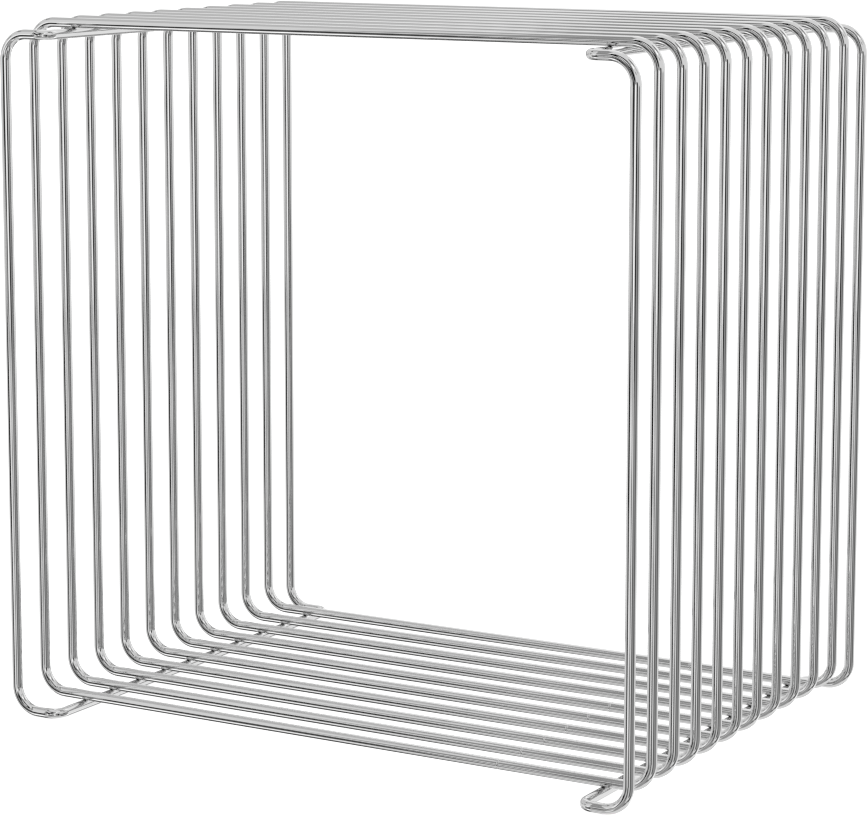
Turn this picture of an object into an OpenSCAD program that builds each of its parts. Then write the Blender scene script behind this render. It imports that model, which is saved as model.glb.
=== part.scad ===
// Magazine rack: an open cube of chrome-plated wire, open at the front and the back.
//
// Closed wire loops stand one behind the other. Two side frames, mirror images of each other,
// carry them: each is one wire, bent into a front upright, a rear upright, a bottom rail that
// the rack stands on, and a top rail that lies under the loops' top wires.
// Every loop is welded to the four rails.
//
// +X is to the right, the front faces -Y and +Z is up. The origin is the middle of the
// footprint, on the surface that the bottom rails stand on. All lengths are in millimetres.

/* [Overall size] */
// Width over the outsides of the uprights
overall_w = 348; // [200:1:500]
// Height from the underside of the bottom rails to the tops of the loops
overall_h = 348; // [200:1:500]

/* [Wire] */
// Diameter of the wire that every piece is bent from
wire_d = 5; // [4:0.25:6]
// Centreline radius of the corner bends of the loops and the side frames
corner_r = 12.5; // [8:0.5:17]

/* [Loops] */
// Number of closed loops between the front and the rear uprights
loop_count = 10; // [3:1:14]
// Distance between the centrelines of neighbouring uprights
pitch = 22.87; // [16:0.01:30]
// Distance of each loop's butt seam from the middle of its bottom wire
seam_x = 92.5; // [0:0.5:120]
// Width of the butt seam along the wire
seam_w = 0.8; // [0.4:0.1:2]
// How far the butt seam stands proud of the wire
seam_proud = 0.1; // [0.05:0.01:0.3]

/* [Side frames] */
// Distance of each rail's centreline inwards from the uprights' centrelines
rail_inset = 24.5; // [20:0.5:60]
// Centreline radius of the tight turn at each end of a rail
turn_r = 6.5; // [4:0.5:11]

/* [Welds] */
// How far a loop and a rail sink into each other where they are welded
weld_sink = 0.1; // [0.05:0.01:0.3]
// Radius of the collar of weld metal around each crossing
weld_r = 1.4; // [1.2:0.1:2.3]

/* [Hidden] */
wire_r = wire_d / 2;

// Centrelines, across the rack
upright_x = overall_w / 2 - wire_r;
rail_x = upright_x - rail_inset;

// Centrelines, up the rack: a loop's wire lies on each rail
crossing_rise = wire_d - weld_sink;
bottom_rail_z = wire_r;
bottom_wire_z = bottom_rail_z + crossing_rise;
top_wire_z = overall_h - wire_r;
top_rail_z = top_wire_z - crossing_rise;
frame_h = top_rail_z - bottom_rail_z;

// Centrelines, along the rack: the side frames' uprights are the first and the last in each row
frame_depth = (loop_count + 1) * pitch;
frame_mid_z = (bottom_rail_z + top_rail_z) / 2;
loop_mid_z = (bottom_wire_z + top_wire_z) / 2;

// A cutter this much longer than what it cuts leaves no face in common
overrun = 2;

$fn = 48;

function loop_y(number) = (number - (loop_count + 1) / 2) * pitch;

function loop_name(number) = str("wire_loop_", number < 10 ? "0" : "", number);

// A quarter turn of wire in the XY plane, from the +X axis to the +Y axis
module bend(radius) {
    rotate_extrude(angle = 90)
        translate([radius, 0])
            circle(d = wire_d);
}

// Straight wire centred on the origin, along X, Y or Z
module wire_along_x(length, d = wire_d) {
    rotate([0, 90, 0])
        cylinder(h = length, d = d, center = true);
}

module wire_along_y(length) {
    rotate([90, 0, 0])
        cylinder(h = length, d = wire_d, center = true);
}

module wire_along_z(length) {
    cylinder(h = length, d = wire_d, center = true);
}

// A closed rounded square of wire in the XZ plane, centred on the origin
module rounded_loop() {
    half_w = upright_x;
    half_h = frame_h / 2;
    for (side = [-1, 1]) {
        translate([side * half_w, 0, 0])
            wire_along_z(frame_h - 2 * corner_r);
        translate([0, 0, side * half_h])
            wire_along_x(2 * (half_w - corner_r));
    }
    for (left = [0, 1], low = [0, 1])
        mirror([left, 0, 0])
            mirror([0, 0, low])
                translate([half_w - corner_r, 0, half_h - corner_r])
                    rotate([90, 0, 0])
                        bend(corner_r);
}

// The ring left on the bottom wire where the loop's two ends are welded together
module butt_seam() {
    translate([seam_x, 0, -frame_h / 2])
        wire_along_x(seam_w, wire_d + 2 * seam_proud);
}

// The shallow saddles that the rails press into a loop's top and bottom wires
module rail_saddles() {
    for (side = [-1, 1], rail_z = [bottom_rail_z, top_rail_z])
        translate([side * rail_x, 0, rail_z - loop_mid_z])
            wire_along_y(wire_d + overrun);
}

module wire_loop(number) {
    color([0.66, 0.66, 0.66])
        translate([0, loop_y(number), loop_mid_z])
            difference() {
                union() {
                    rounded_loop();
                    butt_seam();
                }
                rail_saddles();
            }
}

// The bent wire between the top end of the rear upright and the rear end of the top rail
module frame_corner() {
    run = rail_inset - corner_r - turn_r;
    translate([upright_x - corner_r, frame_depth / 2, frame_h / 2 - corner_r])
        rotate([90, 0, 0])
            bend(corner_r);
    translate([rail_x + turn_r + run / 2, frame_depth / 2, frame_h / 2])
        wire_along_x(run);
    translate([rail_x + turn_r, frame_depth / 2 - turn_r, frame_h / 2])
        rotate([0, 0, 90])
            bend(turn_r);
}

// The right side frame, in its place
module side_frame() {
    translate([0, 0, frame_mid_z]) {
        for (side = [-1, 1]) {
            translate([upright_x, side * frame_depth / 2, 0])
                wire_along_z(frame_h - 2 * corner_r);
            translate([rail_x, 0, side * frame_h / 2])
                wire_along_y(frame_depth - 2 * turn_r);
        }
        for (front = [0, 1], low = [0, 1])
            mirror([0, front, 0])
                mirror([0, 0, low])
                    frame_corner();
    }
}

module side_frame_left() {
    color([0.66, 0.66, 0.66])
        mirror([1, 0, 0])
            side_frame();
}

module side_frame_right() {
    color([0.66, 0.66, 0.66])
        side_frame();
}

// The weld metal between a wire along X and the rail along Y that it lies on.
// The origin is the middle of the crossing.
module weld_collar() {
    $fn = 128;
    difference() {
        cylinder(h = wire_d, r = weld_r, center = true);
        translate([0, 0, crossing_rise / 2])
            wire_along_x(wire_d + overrun);
        translate([0, 0, -crossing_rise / 2])
            wire_along_y(wire_d + overrun);
    }
}

// The welds of one rail
module rail_welds(x, rail_z) {
    color([0.45, 0.45, 0.45])
        for (number = [1:loop_count])
            translate([x, loop_y(number), rail_z + crossing_rise / 2])
                weld_collar();
}

module welds_bottom_left() {
    rail_welds(-rail_x, bottom_rail_z);
}

module welds_bottom_right() {
    rail_welds(rail_x, bottom_rail_z);
}

module welds_top_left() {
    rail_welds(-rail_x, top_rail_z);
}

module welds_top_right() {
    rail_welds(rail_x, top_rail_z);
}

for (number = [1:loop_count])
    wire_loop(number);
side_frame_left();
side_frame_right();
welds_bottom_left();
welds_bottom_right();
welds_top_left();
welds_top_right();
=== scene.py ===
# Magazine rack of chrome-plated wire: the visual model, in metres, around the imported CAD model.
import math
import random

import bpy
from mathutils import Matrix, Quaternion, Vector

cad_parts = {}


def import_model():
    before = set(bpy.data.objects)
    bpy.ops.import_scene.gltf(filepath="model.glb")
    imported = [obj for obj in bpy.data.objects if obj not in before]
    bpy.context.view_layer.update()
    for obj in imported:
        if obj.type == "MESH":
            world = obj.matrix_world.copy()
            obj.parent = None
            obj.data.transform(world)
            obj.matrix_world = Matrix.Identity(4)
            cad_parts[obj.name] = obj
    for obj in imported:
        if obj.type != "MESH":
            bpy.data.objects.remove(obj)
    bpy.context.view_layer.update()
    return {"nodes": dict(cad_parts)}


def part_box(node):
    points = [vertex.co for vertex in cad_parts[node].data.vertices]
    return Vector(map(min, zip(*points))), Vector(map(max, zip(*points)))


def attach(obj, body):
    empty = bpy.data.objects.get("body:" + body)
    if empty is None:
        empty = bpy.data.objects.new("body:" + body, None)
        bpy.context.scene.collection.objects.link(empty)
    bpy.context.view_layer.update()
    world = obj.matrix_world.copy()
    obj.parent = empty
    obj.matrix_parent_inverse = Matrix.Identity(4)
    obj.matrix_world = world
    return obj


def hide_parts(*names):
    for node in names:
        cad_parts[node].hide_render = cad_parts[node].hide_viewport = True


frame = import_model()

MM = 0.001
MICRON = 0.001 * MM

# Wire
WIRE_R = 2.5 * MM
CORNER_R = 12.5 * MM
TURN_R = 6.5 * MM
# Points round the wire, and the spacing of its stations in a bend and on a straight run
SIDES = 48
BEND_STEP = math.radians(3)
BEND_SUBSTEPS = 8
BEND_EASE = 2 * MM
STRAIGHT_STEP = 5 * MM

# Butt seam on the bottom wire of each loop: a bead with a shallow groove at each edge
SEAM_X = 92.5 * MM
SEAM_HALF_W = 0.3 * MM
SEAM_PROUD = 0.04 * MM
SEAM_GROOVE = 0.03 * MM
# How uneven the bead is round the wire, and where the groove is and how wide, in half widths of the seam
SEAM_UNEVEN = 0.25
SEAM_GROOVE_AT = 1.35
SEAM_GROOVE_SPREAD = 0.3
# The seam is shaped within SEAM_ZONE of its middle. The closer stations around it reach SEAM_REACH to either
# side, and follow a station less than SEAM_SEARCH away.
SEAM_ZONE = 2 * MM
SEAM_REACH = 1.2 * MM
SEAM_SEARCH = 6 * MM
SEAM_SIDE = (0.1, 0.21, 0.29, 0.37, 0.45, 0.55, 0.75, 1)
SEAM_STATIONS = tuple(-share for share in reversed(SEAM_SIDE)) + (0,) + SEAM_SIDE

# Weld metal between a loop and a rail
WELD_OUTER_R = 0.9 * MM
WELD_NECK_R = 0.65 * MM
WELD_EMBED = 0.03 * MM
# How far from a crossing the wire is painted darker, as painted shade, and made a little rougher, and the
# share of that way over which this is strongest
CROSSING_SHADE_REACH = 1.6 * MM
CROSSING_SHADE_CORE = 0.4
# How uneven the weld is round its rim and its neck, and how fine its mesh is
WELD_RIM_UNEVEN = 0.07
WELD_NECK_UNEVEN = 0.08
WELD_AROUND = 48
WELD_UP = 14
# The ends of a weld close at points inside the two wires, this share of a wire's radius from the crossing
WELD_END = 0.7

LOOP_SEED = 100
SIDE_FRAME_SEED = 7


# ---------------------------------------------------------------- where things are

def loop_nodes():
    """The CAD nodes of the wire loops, from front to back."""
    return sorted(name for name in frame["nodes"] if name.startswith("wire_loop_"))


def middle(node):
    """The middle of a CAD node's box."""
    low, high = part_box(node)
    return (low + high) / 2


def loop_corners(node):
    """The corners of a loop's centreline, anticlockwise from the front, with the low left one first."""
    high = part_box(node)[1]
    y = middle(node).y
    right = high.x - WIRE_R
    top = high.z - WIRE_R
    bottom = loop_bottom()
    return [Vector(p) for p in ((-right, y, bottom), (right, y, bottom), (right, y, top), (-right, y, top))]


def rail_x():
    """How far the rails' centrelines are from the middle of the rack."""
    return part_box("side_frame_right")[0].x + WIRE_R


def rail_z():
    """The heights of the bottom and the top rails' centrelines."""
    low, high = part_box("side_frame_right")
    return low.z + WIRE_R, high.z - WIRE_R


def loop_bottom():
    """The height of the loops' bottom wires, as far above the bottom rails as the top ones above theirs."""
    bottom_rail, top_rail = rail_z()
    top_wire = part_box("wire_loop_01")[1].z - WIRE_R
    return bottom_rail + (top_wire - top_rail)


# ---------------------------------------------------------------- wire

def smooth_step(t):
    t = min(max(t, 0.0), 1.0)
    return t * t * (3 - 2 * t)


def bend_profile(radius):
    """A quarter turn whose curvature rises and falls evenly over BEND_EASE at its two ends, as (along the way
    in, along the way out, angle) from its start to its end."""
    quarter = math.pi / 2
    length = radius * quarter + BEND_EASE
    steps = round(quarter / BEND_STEP) * BEND_SUBSTEPS
    step = length / steps
    profile = [(0.0, 0.0, 0.0)]
    x = y = angle = 0.0
    for k in range(steps):
        middle_s = (k + 0.5) * step
        curvature = min(middle_s, length - middle_s, BEND_EASE) / BEND_EASE / radius
        mid_angle = angle + curvature * step / 2
        angle += curvature * step
        x += math.cos(mid_angle) * step
        y += math.sin(mid_angle) * step
        if (k + 1) % BEND_SUBSTEPS == 0:
            profile.append((x, y, angle))
    return profile


def bent_path(corners, radii):
    """The centreline of a closed wire with a square bend at each corner, as (point, tangent) stations."""
    stations = []
    count = len(corners)
    for i, corner in enumerate(corners):
        into = (corner - corners[i - 1]).normalized()
        out = (corners[(i + 1) % count] - corner).normalized()
        profile = bend_profile(radii[i])
        start = corner - into * profile[-1][0]
        for x, y, angle in profile:
            stations.append((start + into * x + out * y, into * math.cos(angle) + out * math.sin(angle)))
        end = stations[-1][0]
        next_reach = bend_profile(radii[(i + 1) % count])[-1][0]
        run = corners[(i + 1) % count] - out * next_reach - end
        steps = max(2, round(run.length / STRAIGHT_STEP))
        for k in range(1, steps):
            stations.append((end + run * (k / steps), out))
    return stations


def with_seam(stations, seam):
    """The stations with closer ones around the seam, which is a point on a straight run."""
    result = []
    for i, (point, tangent) in enumerate(stations):
        after = stations[(i + 1) % len(stations)][0]
        if (point - seam).length > SEAM_REACH:
            result.append((point, tangent))
        seam_ahead = (seam - point).dot(tangent) > 0
        seam_behind_next = (after - seam).dot(tangent) >= 0
        if seam_ahead and seam_behind_next and (seam - point).length < SEAM_SEARCH:
            result.extend((seam + tangent * (share * SEAM_REACH), tangent) for share in SEAM_STATIONS)
    return result


def transported_frames(stations, first_normal):
    """A normal at each station that turns with the wire, untwisted, and closes on itself."""
    normals = [first_normal.normalized()]
    for (_, before), (_, after) in zip(stations, stations[1:]):
        normals.append(before.rotation_difference(after) @ normals[-1])
    closing = stations[-1][1].rotation_difference(stations[0][1]) @ normals[-1]
    start = normals[0]
    twist = math.atan2(closing.cross(start).dot(stations[0][1]), closing.dot(start))
    count = len(stations)
    return [
        Quaternion(tangent, twist * i / count) @ normal
        for i, ((_, tangent), normal) in enumerate(zip(stations, normals))
    ]


def seam_profile(distance, ripple):
    """How far the wire's surface stands off its radius at a distance from the seam, along the wire."""
    across = abs(distance) / SEAM_HALF_W
    unevenness = 1 - SEAM_UNEVEN + SEAM_UNEVEN * ripple
    bead = SEAM_PROUD * unevenness * max(0.0, 1 - across * across) ** 0.5
    groove = SEAM_GROOVE * math.exp(-((across - SEAM_GROOVE_AT) / SEAM_GROOVE_SPREAD) ** 2)
    return bead - groove


def ring_ripple(rng):
    """A smooth random function of the angle round the wire, from about -1 to 1."""
    waves = [(n, rng.uniform(0, 2 * math.pi), rng.uniform(0.3, 1.0) / n ** 0.5) for n in (1, 2, 3, 5, 8)]
    total = sum(size for _, _, size in waves)

    def value(angle):
        return sum(size * math.cos(n * angle + phase) for n, phase, size in waves) / total

    return value


def wire_surface(stations, normals, seam, crossings, rng):
    """The points of a tube along the stations, and how near each is to a crossing: 1 at a crossing, 0 away.
    This nearness paints shade on the wire by the crossings.
    """
    points = []
    nearness = []
    ripple = ring_ripple(rng)
    core = CROSSING_SHADE_CORE * CROSSING_SHADE_REACH
    for (point, tangent), normal in zip(stations, normals):
        side = tangent.cross(normal)
        near = min((point - crossing).length for crossing in crossings)
        closeness = 1 - smooth_step((near - core) / (CROSSING_SHADE_REACH - core))
        in_seam = seam is not None and (point - seam).length < SEAM_ZONE
        for k in range(SIDES):
            angle = 2 * math.pi * k / SIDES
            radius = WIRE_R
            if in_seam:
                radius += seam_profile((point - seam).length, ripple(angle))
            points.append(point + (normal * math.cos(angle) + side * math.sin(angle)) * radius)
            nearness.append(closeness)
    return points, nearness


def tube_faces(count):
    """The faces between count rings of points, the last of which joins the first."""
    faces = []
    for i in range(count):
        here = i * SIDES
        there = (i + 1) % count * SIDES
        for k in range(SIDES):
            j = (k + 1) % SIDES
            faces.append((here + k, here + j, there + j, there + k))
    return faces


def lay_along_and_round(mesh, stations):
    """A UV map of centimetres along the wire and of turns round it."""
    lengths = path_lengths(stations)
    layer = mesh.uv_layers.new(name="along_and_round")
    for i in range(len(stations)):
        for k in range(SIDES):
            first = (i * SIDES + k) * 4
            u0, u1 = lengths[i], lengths[i + 1]
            v0, v1 = k / SIDES, (k + 1) / SIDES
            for offset, uv in enumerate(((u0, v0), (u0, v1), (u1, v1), (u1, v0))):
                layer.data[first + offset].uv = uv


def wire_mesh(name, stations, normals, seam, crossings, rng):
    """A closed tube along the stations, with its nearness to the crossings, which paints shade there, as its
    attribute crossing_nearness.
    """
    points, nearness = wire_surface(stations, normals, seam, crossings, rng)
    mesh = bpy.data.meshes.new(name)
    mesh.from_pydata([tuple(p) for p in points], [], tube_faces(len(stations)))
    lay_along_and_round(mesh, stations)
    attribute = mesh.attributes.new("crossing_nearness", "FLOAT", "POINT")
    attribute.data.foreach_set("value", nearness)
    mesh.shade_smooth()
    mesh.update()
    return mesh


def path_lengths(stations):
    """The distance along the wire of each station, and of the first one again at the end, in centimetres."""
    lengths = [0.0]
    for i, (point, _) in enumerate(stations):
        after = stations[(i + 1) % len(stations)][0]
        lengths.append(lengths[-1] + (after - point).length * 100)
    return lengths


def add_object(name, mesh, material):
    piece = bpy.data.objects.new(name, mesh)
    bpy.context.scene.collection.objects.link(piece)
    mesh.materials.append(material)
    return piece


def make_loop(number, node, material):
    """One closed loop of wire, with its butt seam, in place of its CAD node."""
    corners = loop_corners(node)
    stations = bent_path(corners, [CORNER_R] * len(corners))
    seam = Vector((SEAM_X, corners[0].y, corners[0].z))
    stations = with_seam(stations, seam)
    normals = [Vector((0, 1, 0))] * len(stations)
    heights = (corners[0].z, corners[2].z)
    crossings = [Vector((side * rail_x(), corners[0].y, z)) for side in (-1, 1) for z in heights]
    name = f"loop_wire_{number:02d}"
    mesh = wire_mesh(name, stations, normals, seam, crossings, random.Random(LOOP_SEED + number))
    piece = add_object(name, mesh, material)
    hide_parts(node)
    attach(piece, "root")


def make_side_frame(name, node, side, material):
    """One side frame: a closed wire with eight bends, in place of its CAD node."""
    low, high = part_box(node)
    bottom, top = rail_z()
    outer = high.x - WIRE_R if side > 0 else low.x + WIRE_R
    inner = side * rail_x()
    front, rear = low.y + WIRE_R, high.y - WIRE_R
    corners = [
        Vector(p)
        for p in (
            (outer, front, bottom),
            (outer, front, top),
            (inner, front, top),
            (inner, rear, top),
            (outer, rear, top),
            (outer, rear, bottom),
            (inner, rear, bottom),
            (inner, front, bottom),
        )
    ]
    stations = bent_path(corners, [CORNER_R, CORNER_R, TURN_R, TURN_R] * 2)
    normals = transported_frames(stations, Vector((0, 1, 0)).cross(stations[0][1]))
    crossings = [Vector((inner, middle(loop).y, z)) for loop in loop_nodes() for z in (bottom, top)]
    mesh = wire_mesh(name, stations, normals, None, crossings, random.Random(SIDE_FRAME_SEED))
    piece = add_object(name, mesh, material)
    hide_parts(node)
    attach(piece, "root")


# ---------------------------------------------------------------- welds

def weld_surface(rise, rng):
    """Vertices and faces of one weld: the waisted metal between a wire along X and a wire along Y below it.
    The origin is the middle of the crossing, and rise is the distance between the two centrelines."""
    outer = ring_ripple(rng)
    neck = ring_ripple(rng)
    vertices = []
    for j in range(WELD_UP + 1):
        t = -1 + 2 * j / WELD_UP
        for k in range(WELD_AROUND):
            angle = 2 * math.pi * k / WELD_AROUND
            rim = WELD_OUTER_R * (1 + WELD_RIM_UNEVEN * outer(angle))
            waist = WELD_NECK_R * (1 + WELD_NECK_UNEVEN * neck(angle))
            radius = waist + (rim - waist) * t * t
            x = radius * math.cos(angle)
            y = radius * math.sin(angle)
            under_loop = rise / 2 - math.sqrt(WIRE_R ** 2 - y * y) + WELD_EMBED
            over_rail = -rise / 2 + math.sqrt(WIRE_R ** 2 - x * x) - WELD_EMBED
            share = smooth_step((t + 1) / 2)
            vertices.append((x, y, over_rail + (under_loop - over_rail) * share))
    faces = []
    for j in range(WELD_UP):
        for k in range(WELD_AROUND):
            n = (k + 1) % WELD_AROUND
            low = j * WELD_AROUND
            high = low + WELD_AROUND
            faces.append((low + k, low + n, high + n, high + k))
    for ring, height, flip in ((0, -1, True), (WELD_UP, 1, False)):
        pole = len(vertices)
        vertices.append((0, 0, height * WIRE_R * WELD_END))
        for k in range(WELD_AROUND):
            n = (k + 1) % WELD_AROUND
            face = (ring * WELD_AROUND + k, ring * WELD_AROUND + n, pole)
            faces.append(face[::-1] if flip else face)
    return vertices, faces


def make_rail_welds(name, node, side, high_rail, material):
    """The ten welds of one rail, in place of their CAD node."""
    bottom_rail, top_rail = rail_z()
    rise = loop_bottom() - bottom_rail
    base = top_rail if high_rail else bottom_rail
    vertices = []
    faces = []
    rng = random.Random(name)
    for loop in loop_nodes():
        origin = Vector((side * rail_x(), middle(loop).y, base + rise / 2))
        weld_vertices, weld_faces = weld_surface(rise, rng)
        first = len(vertices)
        vertices.extend(tuple(origin + Vector(v)) for v in weld_vertices)
        faces.extend(tuple(first + i for i in face) for face in weld_faces)
    mesh = bpy.data.meshes.new(name)
    mesh.from_pydata(vertices, [], faces)
    mesh.shade_smooth()
    piece = add_object(name, mesh, material)
    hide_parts(node)
    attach(piece, "root")


# ---------------------------------------------------------------- materials

def grey(value):
    return (value, value, value, 1)


class Nodes:
    """A short way to write a material's node tree."""

    def __init__(self, name):
        self.material = bpy.data.materials.new(name)
        self.material.use_nodes = True
        self.tree = self.material.node_tree
        self.tree.nodes.clear()

    def add(self, kind, settings=None, **inputs):
        node = self.tree.nodes.new(kind)
        for key, value in (settings or {}).items():
            setattr(node, key, value)
        for key, value in inputs.items():
            self.put(node, key.replace("_", " "), value)
        return node

    def put(self, node, key, value):
        socket = node.inputs[key]
        if isinstance(value, bpy.types.NodeSocket):
            self.tree.links.new(value, socket)
        else:
            socket.default_value = value

    def math(self, operation, a, b=0.0):
        node = self.add("ShaderNodeMath", {"operation": operation})
        self.put(node, 0, a)
        self.put(node, 1, b)
        return node.outputs[0]

    def span(self, value, low, high):
        """value, from 0 to 1, spread from low to high."""
        node = self.add("ShaderNodeMapRange")
        self.put(node, "Value", value)
        self.put(node, "To Min", low)
        self.put(node, "To Max", high)
        return node.outputs["Result"]

    def stretched(self, source, scale):
        node = self.add("ShaderNodeMapping")
        self.put(node, "Vector", source)
        self.put(node, "Scale", scale)
        return node.outputs["Vector"]

    def noise(self, source, scale, detail=2.0):
        node = self.add("ShaderNodeTexNoise")
        self.put(node, "Vector", source)
        self.put(node, "Scale", scale)
        self.put(node, "Detail", detail)
        return node.outputs["Fac"]

    def mix(self, share, a, b):
        node = self.add("ShaderNodeMix", {"data_type": "RGBA"})
        self.tree.links.new(share, node.inputs[0])
        self.put(node, 6, a)
        self.put(node, 7, b)
        return node.outputs[2]

    def bump(self, height, distance, normal=None):
        node = self.add("ShaderNodeBump")
        self.put(node, "Height", height)
        self.put(node, "Distance", distance)
        self.put(node, "Strength", 1.0)
        if normal is not None:
            self.put(node, "Normal", normal)
        return node.outputs["Normal"]

    def metal(self, colour, roughness, normal):
        shader = self.add("ShaderNodeBsdfPrincipled", Metallic=1.0)
        self.put(shader, "Base Color", colour)
        self.put(shader, "Roughness", roughness)
        self.put(shader, "Normal", normal)
        output = self.add("ShaderNodeOutputMaterial")
        self.tree.links.new(shader.outputs[0], output.inputs["Surface"])
        return self.material


def chrome_wire():
    """Bright chrome over drawn wire: fine lines along it, a slow change of tone, and painted shade near the
    crossings, where it is also a little rougher.
    """
    nodes = Nodes("chrome_wire")
    place = nodes.add("ShaderNodeTexCoord").outputs["Object"]
    along = nodes.add("ShaderNodeUVMap", {"uv_map": "along_and_round"}).outputs["UV"]
    nearness = nodes.add("ShaderNodeAttribute", {"attribute_name": "crossing_nearness"}).outputs["Fac"]
    tone = nodes.noise(place, scale=45.0, detail=3.0)
    bright = nodes.mix(tone, grey(0.64), grey(0.68))
    blotches = nodes.noise(place, scale=900.0, detail=2.0)
    # Painted shade: the wire is painted darker, in patches, close to each crossing between a loop and a rail
    painted_crossing_shade = nodes.math("MULTIPLY", nearness, nodes.span(blotches, 0.0, 0.3))
    colour = nodes.mix(painted_crossing_shade, bright, grey(0.58))
    lines = nodes.noise(nodes.stretched(along, (0.6, 70.0, 1.0)), scale=1.0, detail=4.0)
    clean = nodes.span(lines, 0.005, 0.03)
    roughness = nodes.math("ADD", clean, nodes.math("MULTIPLY", nearness, 0.02))
    drawn = nodes.bump(lines, 0.3 * MICRON)
    ripple = nodes.bump(nodes.noise(place, scale=260.0, detail=1.0), 4 * MICRON, normal=drawn)
    return nodes.metal(colour, roughness, ripple)


def chrome_weld():
    """Plating over the rough metal of a weld, painted dark as painted shade of the crevice between the two
    wires.
    """
    nodes = Nodes("chrome_weld")
    place = nodes.add("ShaderNodeTexCoord").outputs["Object"]
    grain = nodes.noise(place, scale=1400.0, detail=3.0)
    # Painted shade: the weld metal is painted dark grey so that it stands for the shade in the crevice
    # between the two wires, and the grain varies it at random
    colour = nodes.mix(grain, grey(0.1), grey(0.4))
    roughness = nodes.span(nodes.noise(place, scale=2600.0, detail=2.0), 0.05, 0.2)
    return nodes.metal(colour, roughness, nodes.bump(grain, 0.1 * MM))


# ---------------------------------------------------------------- studio

STUDIO_MIDDLE = Vector((0, 0, 0.17))
ROOM_LIGHT = 0.95
# The floor reaches this far from the middle. Its glow and the light that it scatters add up to white.
FLOOR_REACH = 20.0
FLOOR_SHADE = 0.35
FLOOR_GLOW = 0.9
# The first card is the furthest away, and each one after it is nearer by CARD_GAP
CARD_DISTANCE = 6.0
CARD_GAP = 0.02
CARD_FADE = 0.3
# The width of the pixel filter, in pixels. Blender's own is 1.5.
PIXEL_FILTER = 1.25

# The camera's lens, in millimetres, its shift, its place, and its azimuth and elevation seen from the rack
LENS = 129.5
SENSOR_WIDTH = 36.0
LENS_SHIFT = (0.01255, -0.0947)
CAMERA_PLACE = (0.7765, -1.3336, 0.4258)
CAMERA_AZIMUTH = 30.52
CAMERA_ELEVATION = 8.548

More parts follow.
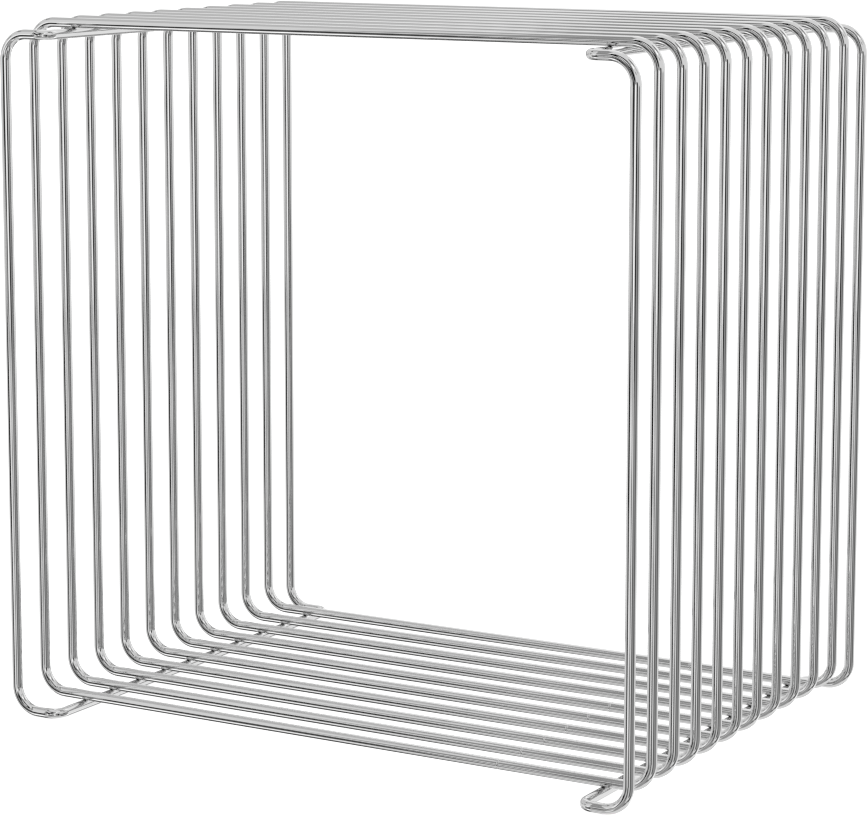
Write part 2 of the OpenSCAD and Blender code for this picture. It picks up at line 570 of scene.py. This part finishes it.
# What the chrome mirrors, beside the even light of the room. Each is a card with a soft rim, and a later
# one stands in front of an earlier one: first the dim and bright sides of the room, then black flags and
# gaps between the lights, and softboxes, on top of them.
# Name, azimuth, elevation, width, height and roll in degrees, and brightness, where the room's is ROOM_LIGHT.
STUDIO_CARDS = (
    # the room
    ("wall_left", -98, 20, 80, 60, 0, 0.85),
    ("wall_rear_right", 150, 0, 40, 130, 0, 1.1),
    ("gap_rear", 178, -4, 22, 44, 0, 0.65),
    ("gap_rear_low", 179, -42, 20, 18, 0, 0.4),
    ("wall_rear_left", -152, 42, 30, 70, 0, 1.15),
    ("wall_rear_left_low", -150, -42, 14, 36, 0, 1.3),
    ("room_behind_lens", 4, -8, 66, 118, 0, 0.42),
    ("room_right", 86, -30, 94, 62, 0, 0.38),
    ("room_front_left", -46, -20, 40, 30, 0, 0.4),
    ("ceiling_left", -94, 52, 56, 20, 0, 0.7),
    ("ceiling_right", 99, 56, 30, 26, 0, 0.42),
    ("ceiling_right_low", 105, 37, 11, 26, 0, 0.42),
    ("gap_right_rear", 133, 23, 9, 12, 0, 0.65),
    # over the rack
    ("gap_over_left", -78, 64, 24, 8, 0, 0.4),
    ("gap_over_left_front", -50, 63, 12, 10, 0, 0.15),
    ("gap_high_left", -89, 43, 14, 10, 0, 0.0),
    ("gap_over_front_left", -41, 53, 8, 16, -25, 0.35),
    ("gap_left_of_front", -33, 38, 8, 16, 0, 0.3),
    ("gap_beside_front", -28, 22, 12, 18, 0, 0.32),
    ("strip_over_front_left", -31, 51, 7, 20, 0, 1.2),
    ("gap_front_right", 33, 37, 16, 24, 0, 0.45),
    ("gap_over_front", 6, 44, 42, 16, 0, 0.05),
    ("gap_over_right", 91, 55, 14, 15, 0, 0.15),
    ("softbox_over_right_front", 60, 43, 34, 14, -22, 1.45),
    ("softbox_rear", 166, 21, 14, 26, 0, 1.6),
    ("softbox_rear_high", 148, 43, 16, 20, 0, 1.35),
    ("softbox_rear_left", -167, 11, 12, 16, 0, 1.5),
    ("softbox_rear_low", 149, -42, 24, 14, 0, 1.55),
    # level with it
    ("stand_left", -71, 20, 14, 10, 0, 0.2),
    ("stand_far_left", -88, 8, 14, 10, 0, 0.5),
    ("gap_left", -71, 8, 14, 9, 0, 0.5),
    ("shade_left", -95, -5, 76, 7, 0, 0.88),
    ("strip_left", -74, -1, 12, 4, 0, 1.2),
    ("gap_far_left", -111, -1, 26, 5, 0, 0.2),
    ("gap_rear_left", -148, 14, 14, 14, 0, 0.7),
    ("strip_far_left", -123, -12, 44, 6, 0, 1.12),
    ("stand_front_left", -20, 28, 10, 30, 0, 0.0),
    ("strip_front", 0, 27, 26, 8, 35, 1.3),
    ("flag_over_lens", 17, 26, 15, 13, 0, 0.05),
    ("flag_by_lens", 5, 11, 36, 18, 0, 0.0),
    ("flag_beside_lens", -1, -2, 13, 16, 0, 0.0),
    ("softbox_left_of_lens", -24, 10, 24, 6, 0, 1.2),
    ("softbox_far_left_of_lens", -43, 3, 14, 9, 0, 1.5),
    ("gap_right_of_lens", 60, 26, 20, 9, 0, 0.45),
    ("softbox_right_of_lens", 38, 19, 10, 9, 0, 1.2),
    ("flag_right_front", 52, -2, 29, 17, 0, 0.02),
    ("wall_right", 79, -1, 16, 6, 0, 0.9),
    ("wall_right_rear", 123, -3, 22, 7, 0, 0.95),
    ("flag_right", 97, -9, 18, 18, 0, 0.1),
    # the front edge of the table, and what stands under it
    ("table_front", 0, -15, 16, 14, 0, 0.8),
    ("box_front_left_leg", 10, -9, 6, 16, 0, 1.5),
    ("box_front_top", 22, -4, 31, 9, 0, 1.3),
    ("box_front_right_leg", 32, -9, 10, 20, 0, 1.1),
    ("flag_low_front", 19, -15, 14, 10, 0, 0.05),
    ("flag_below_front", 6, -26, 18, 16, 0, 0.1),
    ("column_low_front_right", 34, -32, 11, 40, 0, 1.05),
    ("strip_low_front", -14, -22, 26, 6, 0, 0.75),
    ("gap_front_left", -42, -5, 34, 6, 0, 0.65),
    ("flag_low_far_left", -50, -10, 20, 6, 0, 0.0),
    ("flag_low_left_back", -53, -26, 16, 12, 0, 0.1),
    ("flag_low_front_left", -36, -16, 17, 20, 0, 0.0),
    ("flag_front_left", -25, 0, 20, 9, 0, 0.0),
    ("flag_left_of_lens", -16, -3, 15, 5, 0, 0.0),
    ("box_left_flag", -22, -13, 8, 10, 0, 0.1),
    ("softbox_low_left", -13, -13, 10, 12, 0, 1.7),
    ("gap_low_front_left", -36, -32, 26, 9, 0, 0.3),
    ("gap_low_left", -92, -31, 15, 20, 0, 0.42),
    ("softbox_low_front_left", -55, -44, 18, 14, 0, 1.7),
    ("strip_low_left", -21, -39, 9, 20, 0, 1.1),
    ("gap_below_left", -88, -50, 34, 22, 0, 0.4),
    ("gap_below_front_left", -56, -57, 44, 9, 0, 0.5),
    ("table_edge_left", -128, -39, 26, 14, -50, 0.0),
    ("table_edge_middle", -115, -51, 26, 14, -45, 0.0),
    ("table_edge_front", -96, -59, 26, 11, -15, 0.1),
    ("flag_low_right_front", 58, -25, 10, 32, 0, 0.0),
    ("strip_low_right", 55, -46, 40, 8, 0, 0.95),
    ("flag_under_right_front", 50, -58, 30, 12, 0, 0.2),
    ("flag_low_far_right", 92, -48, 22, 18, 0, 0.1),
)


def soft_card(name, brightness):
    """A card that shines evenly and fades to nothing over CARD_FADE of the way from its rim to its middle."""
    nodes = Nodes(name)
    source = nodes.add("ShaderNodeUVMap", {"uv_map": "card"}).outputs["UV"]
    parts = nodes.add("ShaderNodeSeparateXYZ")
    nodes.put(parts, 0, source)
    shown = None
    for axis in (0, 1):
        off_middle = nodes.math("ABSOLUTE", nodes.math("SUBTRACT", parts.outputs[axis], 0.5))
        inwards = nodes.math("SUBTRACT", 1.0, nodes.math("MULTIPLY", off_middle, 2.0))
        fade = nodes.add("ShaderNodeMapRange", {"interpolation_type": "SMOOTHSTEP"})
        nodes.put(fade, "Value", inwards)
        nodes.put(fade, "From Max", CARD_FADE)
        value = fade.outputs["Result"]
        shown = value if shown is None else nodes.math("MULTIPLY", shown, value)
    light = nodes.add("ShaderNodeEmission", Strength=brightness)
    clear = nodes.add("ShaderNodeBsdfTransparent")
    both = nodes.add("ShaderNodeMixShader")
    nodes.put(both, 0, shown)
    nodes.put(both, 1, clear.outputs[0])
    nodes.put(both, 2, light.outputs[0])
    output = nodes.add("ShaderNodeOutputMaterial")
    nodes.tree.links.new(both.outputs[0], output.inputs["Surface"])
    return nodes.material


def direction(azimuth, elevation):
    """The unit vector towards an azimuth, 0 in front of the rack and 90 on its right, and an elevation."""
    turn = math.radians(azimuth)
    rise = math.radians(elevation)
    return Vector((math.sin(turn) * math.cos(rise), -math.cos(turn) * math.cos(rise), math.sin(rise)))


def card(name, azimuth, elevation, width, height, roll, brightness, distance):
    """A card of the studio that only the chrome sees, square to the line from the rack to its middle."""
    outwards = direction(azimuth, elevation)
    across = direction(azimuth + 90, 0)
    upwards = across.cross(outwards)
    turn = Quaternion(outwards, -math.radians(roll))
    half_w = turn @ across * (distance * math.tan(math.radians(width / 2)))
    half_h = turn @ upwards * (distance * math.tan(math.radians(height / 2)))
    centre = STUDIO_MIDDLE + outwards * distance
    corners = [centre + half_w * x + half_h * y for x, y in ((-1, -1), (1, -1), (1, 1), (-1, 1))]
    mesh = bpy.data.meshes.new(name)
    mesh.from_pydata([tuple(c) for c in corners], [], [(0, 1, 2, 3)])
    layer = mesh.uv_layers.new(name="card")
    for corner, uv in enumerate(((0, 0), (1, 0), (1, 1), (0, 1))):
        layer.data[corner].uv = uv
    piece = add_object(name, mesh, soft_card(name, brightness))
    piece.visible_camera = False
    piece.visible_diffuse = False
    piece.visible_shadow = False
    piece.visible_transmission = False


def floor():
    """A plain white floor that glows a little, like a light table, so that no shadow greys it much."""
    corners = [(x * FLOOR_REACH, y * FLOOR_REACH, 0) for x, y in ((-1, -1), (1, -1), (1, 1), (-1, 1))]
    mesh = bpy.data.meshes.new("floor")
    mesh.from_pydata(corners, [], [(0, 1, 2, 3)])
    nodes = Nodes("floor")
    matte = nodes.add("ShaderNodeBsdfDiffuse", Color=grey(FLOOR_SHADE))
    glowing = nodes.add("ShaderNodeEmission", Strength=FLOOR_GLOW)
    both = nodes.add("ShaderNodeAddShader")
    nodes.put(both, 0, matte.outputs[0])
    nodes.put(both, 1, glowing.outputs[0])
    output = nodes.add("ShaderNodeOutputMaterial")
    nodes.tree.links.new(both.outputs[0], output.inputs["Surface"])
    piece = add_object("floor", mesh, nodes.material)
    piece.visible_glossy = False


def world():
    """Even white light from all round."""
    made = bpy.data.worlds.new("studio")
    made.use_nodes = True
    background = made.node_tree.nodes["Background"]
    background.inputs["Color"].default_value = grey(1)
    background.inputs["Strength"].default_value = ROOM_LIGHT
    bpy.context.scene.world = made
    bpy.context.scene.view_settings.view_transform = "Standard"
    bpy.context.scene.cycles.filter_width = PIXEL_FILTER


def studio_cards():
    """The cards, each a little nearer than the one before it."""
    for order, (name, *shape) in enumerate(STUDIO_CARDS):
        card(name, *shape, CARD_DISTANCE - order * CARD_GAP)


def camera():
    """A long lens from the right of the front, a little above the rack."""
    data = bpy.data.cameras.new("camera")
    data.lens = LENS
    data.sensor_width = SENSOR_WIDTH
    data.shift_x, data.shift_y = LENS_SHIFT
    piece = bpy.data.objects.new("camera", data)
    bpy.context.scene.collection.objects.link(piece)
    piece.location = CAMERA_PLACE
    piece.rotation_mode = "QUATERNION"
    piece.rotation_quaternion = (-direction(CAMERA_AZIMUTH, CAMERA_ELEVATION)).to_track_quat("-Z", "Y")
    bpy.context.scene.camera = piece


# ---------------------------------------------------------------- the rack

def make_rack():
    wire = chrome_wire()
    weld = chrome_weld()
    for number, node in enumerate(loop_nodes(), start=1):
        make_loop(number, node, wire)
    for word, side in (("left", -1), ("right", 1)):
        make_side_frame(f"frame_wire_{word}", f"side_frame_{word}", side, wire)
        for level in ("bottom", "top"):
            name = f"weld_fillets_{level}_{word}"
            make_rail_welds(name, f"welds_{level}_{word}", side, level == "top", weld)


world()
floor()
studio_cards()
camera()
make_rack()
